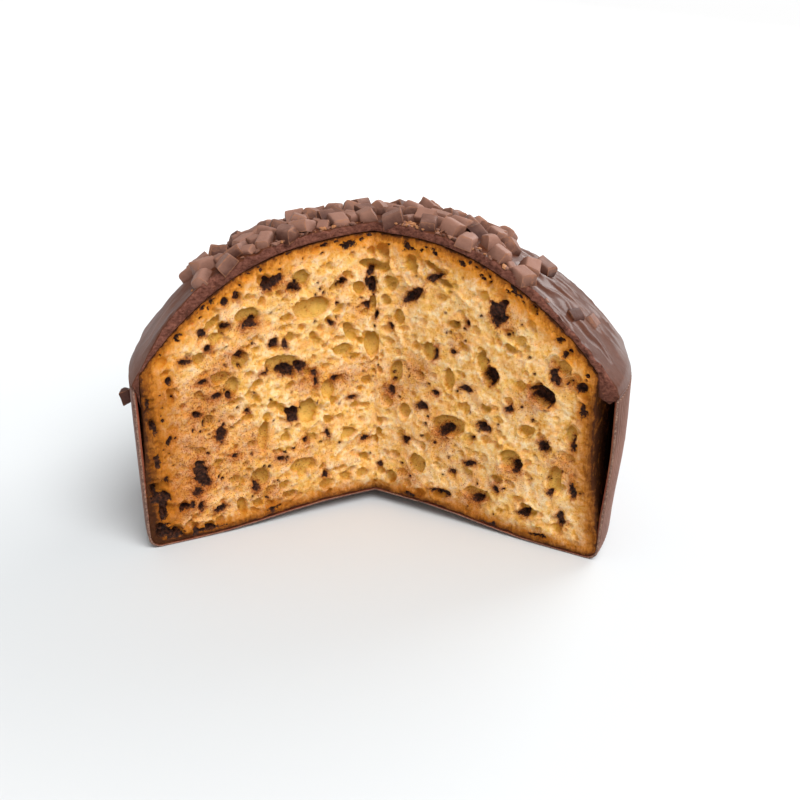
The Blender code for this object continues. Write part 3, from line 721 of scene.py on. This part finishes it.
coat_fan = fan(COATING_STEPS)
rim_spot = spread(coat_fan, reach(coat_fan, CASE_RIM_RADIUS))
rim_bearing = np.arctan2(rim_spot[:, 1], rim_spot[:, 0])
out_share, down_share = lap(rim_bearing, 22, 34), lap(rim_bearing, 34, 44)
rim_bulge = bulge(rim_bearing, CASE_HEIGHT)
run_share = drip(rim_bearing) * down_share
shelf = CASE_HEIGHT + 0.35

steps = np.linspace(0, 1, COATING_ROWS) ** 0.85
plan = spread(coat_fan[:, None], steps * reach(coat_fan, 0.985 * COATING_RADIUS)[:, None])
outside = raised(plan, coating_height(plan))
radius = np.linalg.norm(plan, axis=-1)
bearing = np.arctan2(plan[..., 1], plan[..., 0])
tuck = 1.8 + 0.8 * toward(rim_bearing, LEFT_CUT, 40)
shift = (rim_bulge - tuck * (1 - out_share))[:, None] * smooth_step(0.8, 1.0, radius / COATING_RADIUS)
outside[..., :2] *= (1 + shift / np.maximum(radius, 1))[..., None]
ripples, broad, ragged = noise_at(plan, 7, 3.1), noise_at(plan, 16, 9.4), noise_at(plan, 1.9, 5.5)
streaks = 1 - 2 * np.abs(np.sin(bearing * 26 + 1.8 * ripples + radius / 17)) ** 0.7
streaks = streaks * smooth_step(52, 64, radius) * (0.3 + 1.3 * toward(bearing, 0, 50))
waves = 0.42 * streaks + 0.35 * ripples + broad * smooth_step(40, 60, radius)
outside[..., 2] += waves * (1 - smooth_step(90, 96, radius))
by_knife = np.exp(-np.minimum(np.arange(COATING_STEPS), np.arange(COATING_STEPS)[::-1]) / 2.0)[:, None]
outside[..., 2] += by_knife * (1.1 * ragged - 0.2) * (1 - smooth_step(88, 94, radius))

paper_inside = CASE_RIM_RADIUS - 0.8 + rim_bulge
stay = paper_inside - 0.4
hem_radius = stay + 1.55 * out_share
hem_height = shelf + 0.1 - (1.3 + DRIP_LENGTH * run_share) * down_share
hem_thick = 0.8 + DRIP_THICKNESS * run_share
crust_edge = loaf_radius(rim_bearing, CASE_HEIGHT)
keel = KEEL * smooth_step(0.9, 2.2, shrinkage(rim_bearing, CASE_HEIGHT))
keel = keel * (1 - 0.75 * toward(rim_bearing, RIGHT_CUT, 45))
tip_height = shelf - keel
beside_loaf = loaf_radius(rim_bearing, tip_height)
tip_radius = beside_loaf + 0.5 + 0.95 * np.maximum(0, paper_inside - beside_loaf - 3.2)
bend = [
    (np.linalg.norm(outside[:, -1, :2], axis=1), outside[:, -1, 2]),
    (hem_radius + 0.7 * hem_thick, shelf + 1.7),
    (hem_radius + hem_thick, hem_height + 0.25 * DRIP_LENGTH * run_share + 1.2),
    (hem_radius + 0.8 * hem_thick, hem_height + 0.4),
    (hem_radius, hem_height),
    (hem_radius, shelf + 0.3),
    (np.maximum(paper_inside - 0.6, tip_radius + 0.1), shelf + 0.1),
    (tip_radius, tip_height),
]
bend = np.array([np.stack(np.broadcast_arrays(*pair), axis=-1) for pair in bend])


def rounded(course, count):
    """Points along a course of corners, with the corners rounded off."""
    fine_course = np.linspace(0, len(course) - 1, count)
    points = []
    for value in fine_course[1:]:
        index = min(int(value), len(course) - 2)
        share = value - index
        before, start, end, after = (course[max(0, min(len(course) - 1, index + k))] for k in (-1, 0, 1, 2))
        smooth = 0.5 * (
            2 * start
            + (end - before) * share
            + (2 * before - 5 * start + 4 * end - after) * share**2
            + (3 * start - before - 3 * end + after) * share**3
        )
        points.append(0.5 * smooth + 0.5 * (start + (end - start) * share))
    return np.stack(points, axis=1)


def ring_points(radius_height):
    """Places at these radii and heights, one line of them for each direction of the coating's fan."""
    far = np.stack([reach(coat_fan, radius) for radius in radius_height[..., 0].T], axis=1)
    return raised(spread(coat_fan[:, None], far), radius_height[..., 1])


outer_course = np.concatenate((outside, ring_points(rounded(bend, HEM_ROWS + 1))), axis=1)
plan = spread(coat_fan[:, None], steps * dough_reach(coat_fan, CASE_HEIGHT)[:, None])
inside = raised(plan, dome_height(plan) + GAP_TO_CRUST)
keel_share = np.linspace(0, 1, HEM_ROWS + 1)[None, 1:]
keel_radius = (crust_edge[:, None] + 0.35) * (1 - keel_share) + tip_radius[:, None] * keel_share
keel_height = (shelf + 0.25) * (1 - keel_share) + tip_height[:, None] * keel_share
keel_course = ring_points(np.stack((keel_radius, keel_height), axis=-1))
inner_course = np.concatenate((inside, keel_course), axis=1)
inner_course[:, -1] = outer_course[:, -1]


def band_sheet(name, outer_line, inner_line, normal, seed):
    """The coating's cut edge between its two skins, a little crumbled by the knife."""
    share = np.linspace(0, 1, BAND_ROWS)[None, :, None]
    points = outer_line[:, None] * (1 - share) + inner_line[:, None] * share
    for column in range(1, len(points)):
        for row in range(1, BAND_ROWS - 1):
            spot = Vector(points[column, row])
            push = 1.5 * noise.noise(spot / 3.0 + Vector((seed, 0, 0))) + 1.2 * noise.noise(spot / 1.3)
            points[column, row, :2] += normal * (push + 0.5)
    return lay_sheet(name, points)


glaze, shader, place = new_finish("poured_chocolate")
cloud = grain(place, 0.045)
swirl = grain(place, 0.35, 4.0, 0.6)
to_right, to_back = place.part(0).rise(-40, 55), place.part(1).rise(20, 90)
dark = layered(
    cloud.rise(0.35, 0.7).tint((0.096, 0.025, 0.009), (0.144, 0.046, 0.021)),
    # Darker towards the right, where the front lamp falls most: painted shade.
    (to_right * 0.45, (0.060, 0.015, 0.005)),
    (swirl.rise(0.5, 0.8) * 0.4, (0.20, 0.078, 0.046)),
)
shine = 0.02 + to_right.math("MAXIMUM", to_back) * 0.18
coat = {"Coat Weight": shine, "Coat Roughness": 0.13, "Coat IOR": 1.45}
dress(shader, dark, 0.34 + cloud * 0.12 + swirl * 0.12, 0.12, coat)
emboss(shader, swirl + grain(place, 1.6, 2.0) * 0.08, 0.35, 0.5)

cut_chocolate, shader, place = new_finish("cut_chocolate")
crumble = grain(place, 0.9, 5.0, 0.7)
drag = grain(stretch(place, 0.3, 0.3, 1.0), 1.2)
matt = layered(
    (crumble * 0.6 + drag * 0.4).rise(0.32, 0.68).tint((0.088, 0.027, 0.017), (0.260, 0.100, 0.068)),
    # Darker below about 70 mm, where the cut band runs down into the narrow gap between crust and paper:
    # painted shade.
    (place.part(2).rise(76, 67) * 0.55, (0.060, 0.020, 0.012)),
    (crumble.rise(0.60, 0.72) * 0.65, (0.36, 0.13, 0.045)),
)
dress(shader, matt, 0.7, 0.1)
emboss(shader, crumble + drag * 0.5, 0.7, 1.0)

coating_sheets = [
    lay_sheet("coating_outside", outer_course),
    lay_sheet("coating_inside", inner_course),
    band_sheet("band_left", outer_course[0], inner_course[0], LEFT_OUT, 3.0),
    band_sheet("band_right", outer_course[-1], inner_course[-1], RIGHT_OUT, 8.0),
]
give_finishes(coating_sheets, (0, 0, 1, 1), (glaze, cut_chocolate))
coating = close_up("poured_coating", coating_sheets)
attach(coating, "root")
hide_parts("coating")


# The strewn chunks
# Short pieces of a flat-bottomed chocolate stick, broken off at both ends, and thrown on while the
# coating was still soft, with flakes between them. Their broken ends and edges are paler and browner.

CHUNK_SIZE = Vector((9.5, 8.0, 6.0))
CHUNK_SPACING, CHUNK_CENTRE, CHUNK_FIELD, CHUNK_COUNT = 8.8, Vector((-5.0, 6.0)), 69.0, 84
STRAY_CHUNKS = [(math.radians(-17), 77.0), (math.radians(-12), 83.0)]
FLAKES, FLAKES_BY_CUTS = 330, 190


def cut_depths(spot):
    """How far behind the left and the right cut face a place in plan lies."""
    offset = np.array(spot) - CREASE
    return -offset @ LEFT_OUT, -offset @ RIGHT_OUT


def in_wedge(spot, margin):
    """Whether a place in plan lies in the cut-out wedge, or within margin of it."""
    depths = cut_depths(spot)
    return max(depths) < margin if spot[1] < CREASE[1] else min(depths) < margin


def way(bearing):
    return Vector((math.cos(bearing), math.sin(bearing)))


def scatter_chunks():
    """Places and turns of the chunks, thrown at random and kept apart, thinning out outwards."""
    rng = random.Random(24)
    placed = []
    for _attempt in range(6000):
        if len(placed) == CHUNK_COUNT:
            break
        far = CHUNK_FIELD * math.sqrt(rng.random())
        bearing = 2 * math.pi * rng.random()
        thin = rng.random() < smooth_step(0.8, 1.15, far / CHUNK_FIELD)
        spot = CHUNK_CENTRE + way(bearing) * far
        yaw, lean, heel = rng.random() * math.pi, rng.gauss(0, 14), rng.gauss(0, 14)
        size = [edge * (0.84 + 0.34 * rng.random()) for edge in CHUNK_SIZE]
        if thin or in_wedge(spot, 1.5):
            continue
        if any((spot - other[0]).length < CHUNK_SPACING for other in placed):
            continue
        placed.append((spot, yaw, math.radians(lean), math.radians(heel), size))
    for bearing, far in STRAY_CHUNKS:
        placed.append((way(bearing) * far, bearing, 0.1, -0.1, list(CHUNK_SIZE * 0.85)))
    return placed


def surface_frame(spot, lift):
    """Matrix at a place on the coating, its Z along the slope's normal."""
    here, right, back = coating_height(np.array(spot) + ((0, 0), (2, 0), (0, 2)))
    normal = Vector(((here - right) / 2, (here - back) / 2, 1)).normalized()
    centre = Vector((spot[0], spot[1], here)) + normal * lift
    return Matrix.Translation(centre) @ normal.to_track_quat("Z", "Y").to_matrix().to_4x4()


def chunk_kind(index):
    """One broken block of unit size: flat underneath, its long upper edges round, its ends rough."""
    rng = random.Random(100 + index)
    bpy.ops.mesh.primitive_cube_add(size=1)
    block = bpy.context.object
    block.name = f"chunk_kind_{index}"
    bpy.ops.object.mode_set(mode="EDIT")
    bpy.ops.mesh.subdivide(number_cuts=7)
    bpy.ops.object.mode_set(mode="OBJECT")
    edge = block.data.attributes.new("edge", "FLOAT", "POINT")
    half = CHUNK_SIZE / 2
    roundness = rng.uniform(0.7, 1.9)
    chips = []
    for _chip in range(rng.choice((1, 2, 2, 3))):
        normal = Vector((rng.choice((-1, 1)), rng.uniform(-0.9, 0.9), rng.uniform(0.1, 0.9))).normalized()
        corner = Vector((math.copysign(half.x, normal.x), math.copysign(half.y, normal.y), half.z))
        chips.append((normal, corner.dot(normal) - rng.uniform(1.4, 3.0)))
    slant_low, slant_high = rng.uniform(-0.9, 0.9), rng.uniform(-0.9, 0.9)
    for vert, mark in zip(block.data.vertices, edge.data):
        eased = [1 - (1 - min(1.0, abs(2 * value))) ** 1.5 for value in vert.co]
        eased = Vector([math.copysign(share, value) for share, value in zip(eased, vert.co)])
        spot = eased * half
        on_end = abs(eased.x) > 0.999
        beside = half.x - abs(spot.x)
        skin = min(half.y - abs(spot.y), half.z - abs(spot.z))
        worn = math.exp(-((min(skin, 5.0) / 0.6) ** 2)) if on_end else math.exp(-((beside / 0.55) ** 2))
        across, over = abs(spot.y) - (half.y - roundness), spot.z - (half.z - roundness)
        if across > 0 and over > 0:
            pull = min(1.0, roundness / math.hypot(across, over))
            spot.y = math.copysign(half.y - roundness + across * pull, spot.y)
            spot.z = half.z - roundness + over * pull
        spot.y *= 1 - 0.12 * (0.5 + spot.z / (2 * half.z))
        spot.x += (slant_high if spot.x > 0 else slant_low) * (spot.z / half.z) * abs(eased.x) ** 3 * 0.5
        if on_end:
            spot.x += math.copysign(0.35, spot.x) * noise.noise(spot / 1.7 + Vector((index, 0, 0)))
            spot.x -= math.copysign(0.28, spot.x) * worn
        for normal, limit in chips:
            over = spot.dot(normal) - limit
            if over > 0:
                spot -= normal * over * 0.92
                worn = max(worn, 0.75 if over < 0.35 else 0.5)
        spot += Vector((1, 1, 1)) * 0.10 * noise.noise(spot / 1.3)
        vert.co = Vector([spot[axis] / (2 * half[axis]) for axis in range(3)])
        mark.value = worn
    return block


def flake_kind(index):
    """A small angular bit of chocolate of unit size."""
    rng = random.Random(300 + index)
    bpy.ops.mesh.primitive_ico_sphere_add(subdivisions=1, radius=0.5)
    flake = bpy.context.object
    flake.name = f"flake_kind_{index}"
    for vert in flake.data.vertices:
        vert.co = vert.co * rng.uniform(0.7, 1.2)
    edge = flake.data.attributes.new("edge", "FLOAT", "POINT")
    edge.data.foreach_set("value", [rng.uniform(0.1, 0.9) for _vert in flake.data.vertices])
    return flake


def set_down(kind, stand, paler=0.0):
    """A copy of a kind of block put at a place, with a tone of its own, and painted light that makes it
    lighter towards its top and darker at its foot.
    """
    block = bpy.data.objects.new(f"chunk_{len(chunks)}", kind.data.copy())
    bpy.context.scene.collection.objects.link(block)
    block.data.transform(Matrix.Translation(AXIS) @ Matrix.Scale(MM, 4) @ stand)
    tint = block.data.attributes.new("tint", "FLOAT", "POINT")
    shade = picker.random() + paler
    # Each block's own tone, with painted light added: lighter towards its top, darker at its foot.
    tint.data.foreach_set("value", [shade + 0.7 * vert.co.z for vert in kind.data.vertices])
    chunks.append(block)


kinds = [chunk_kind(index) for index in range(9)]
flakes = [flake_kind(index) for index in range(5)]
picker = random.Random(5)
chunks = []
thrown = scatter_chunks()
for spot, yaw, lean, heel, size in thrown:
    turned = Matrix.Rotation(yaw, 4, "Z") @ Matrix.Rotation(lean, 4, "X") @ Matrix.Rotation(heel, 4, "Y")
    size = [edge * 0.87 for edge in size]
    sunk = (spot - CHUNK_CENTRE).length > CHUNK_FIELD
    stand = surface_frame(spot, size[2] / 2 - (3.2 if sunk else 1.2)) @ turned @ Matrix.Diagonal((*size, 1.0))
    set_down(kinds[picker.randrange(len(kinds))], stand, -0.7 if sunk else 0.0)
taken = [other[0] for other in thrown]
for spacing, low, high, count in ((7.7, 0.74, 0.92, 110), (5.6, 0.42, 0.66, 56)):
    for _attempt in range(2500):
        far, bearing = CHUNK_FIELD * 0.98 * math.sqrt(picker.random()), 2 * math.pi * picker.random()
        spot = CHUNK_CENTRE + way(bearing) * far
        if count == 0 or spot.x > 50 or max(cut_depths(spot)) <= 2.6:
            continue
        if any((spot - other).length < spacing for other in taken):
            continue
        count -= 1
        taken.append(spot)
        yaw, lean = picker.uniform(0, 6), picker.gauss(0, 0.35)
        turned = Matrix.Rotation(yaw, 4, "Z") @ Matrix.Rotation(lean, 4, "X")
        size = CHUNK_SIZE * picker.uniform(low, high)
        stand = surface_frame(spot, size.z / 2 - 0.9) @ turned @ Matrix.Diagonal((*size, 1.0))
        set_down(kinds[picker.randrange(len(kinds))], stand)
for index in range(FLAKES):
    if index < FLAKES_BY_CUTS:
        face, inward = ((LEFT_FACE, LEFT_OUT), (RIGHT_FACE, RIGHT_OUT))[index % 2]
        spot = CREASE + face * picker.triangular(2, 74, 12) - inward * abs(picker.gauss(0.2, 2.4))
    else:
        bearing = 2 * math.pi * picker.random()
        spot = CHUNK_CENTRE + way(bearing) * CHUNK_FIELD * math.sqrt(picker.random())
        if max(cut_depths(spot)) <= 1.0:
            continue
    size = 0.7 + 2.4 * picker.random() ** 1.6
    turned = Matrix.Rotation(picker.uniform(0, 6), 4, "Z")
    turned = turned @ Matrix.Diagonal((size, size * 0.75, size * 0.6, 1.0))
    paler = 2.0 if picker.random() < (0.8 if index < FLAKES_BY_CUTS and 3 < spot[0] < 22 else 0.12) else 0.0
    set_down(flakes[picker.randrange(len(flakes))], surface_frame(spot, size * 0.15) @ turned, paler)
stuck = Matrix.Translation((*way(math.radians(191)) * 97.0, 59.5))
set_down(kinds[3], stuck @ Matrix.Rotation(1.3, 4, "Y") @ Matrix.Diagonal((6.5, 5.0, 4.6, 1.0)), -0.6)
for kind in kinds + flakes:
    bpy.data.objects.remove(kind)

block_finish, shader, place = new_finish("chunk_chocolate")
edge, tint = place.mark("edge"), place.mark("tint")
rub = grain(place, 0.8, 5.0, 0.7)
dust = grain(place, 0.25)
chipped = (edge + rub * 1.5 - 0.95).rise(0.25, 0.85)
body = layered(
    # tint is each chunk's own tone plus painted light, lighter on top and darker at the foot; above 1.4 it
    # marks the pale flakes.
    (dust * 0.5 + tint * 0.5).rise(0.12, 0.88).tint((0.073, 0.025, 0.016), (0.305, 0.150, 0.105)),
    (rub.rise(0.6, 0.75) * 0.35, (0.36, 0.175, 0.110)),
    (tint.rise(1.4, 1.9), (0.46, 0.20, 0.085)),
    (chipped * 0.60, (0.38, 0.160, 0.075)),
)
dress(shader, body, 0.42 + rub * 0.25 + chipped * 0.12, 0.22)
emboss(shader, rub, 0.35, 0.7)
give_finishes(chunks, [0] * len(chunks), (block_finish,))
strewn = close_up("strewn_chunks", chunks)
bpy.context.view_layer.objects.active = strewn
strewn.select_set(True)
bpy.ops.object.shade_smooth_by_angle(angle=math.radians(30))
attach(strewn, "root")
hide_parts("coating")


# Floor, light and camera
# A white sheet under the loaf, painted greyer and a little bluer near the loaf as a painted shadow, a wide
# soft light from the front and above, and one behind on the right.

bpy.ops.mesh.primitive_plane_add(size=40, location=(0, 0, -0.0002))
floor = bpy.context.object
floor.name = "floor"
white, shader, place = new_finish("white_floor")
distance = place.node("ShaderNodeVectorMath", {"operation": "LENGTH"}, {0: place}, 1)
# Greyer and a little bluer near the loaf, fading out between 130 and 480 mm from the floor's middle: a
# painted shadow.
dress(shader, distance.rise(130, 480).tint((0.682, 0.703, 0.714), (0.81, 0.81, 0.81)), 0.9, 0.0)
floor.data.materials.append(white)

world = bpy.data.worlds.new("studio")
bpy.context.scene.world = world
world.use_nodes = True
background = world.node_tree.nodes["Background"]
across_sky = Wire(background.outputs[0]).node("ShaderNodeTexCoord").part(0)
Wire.plug(0.52 + across_sky.rise(-0.6, 0.9) * 0.14, background.inputs["Strength"])
Wire.plug((1.0, 1.0, 1.0), background.inputs["Color"])
bpy.context.scene.view_settings.view_transform = "Standard"


def aimed(name, lamp, place, aim):
    stand = bpy.data.objects.new(name, lamp)
    bpy.context.scene.collection.objects.link(stand)
    stand.location = Vector(place)
    stand.rotation_euler = (Vector(aim) - Vector(place)).to_track_quat("-Z", "Y").to_euler()


sky = bpy.data.lights.new("wide_softbox", "SUN")
sky.energy, sky.angle = 2.5, math.radians(40)
aimed("wide_softbox", sky, (0.48, -0.76, 1.25), (0, 0, 0))
strip = bpy.data.lights.new("back_softbox", "AREA")
strip.shape, strip.size, strip.size_y, strip.energy = "RECTANGLE", 0.9, 0.35, 8.0
aimed("back_softbox", strip, (0.75, 0.7, 0.6), (0.03, 0, 0.08))

camera = bpy.data.cameras.new("camera")
camera.lens, camera.sensor_width = 1308 / 800 * 36, 36
camera.clip_start, camera.clip_end = 0.01, 20
stand = bpy.data.objects.new("camera", camera)
bpy.context.scene.collection.objects.link(stand)
stand.location = AXIS + Vector((0.009, -0.477, 0.262))
stand.rotation_euler = (math.radians(66), 0, 0)
bpy.context.scene.camera = stand
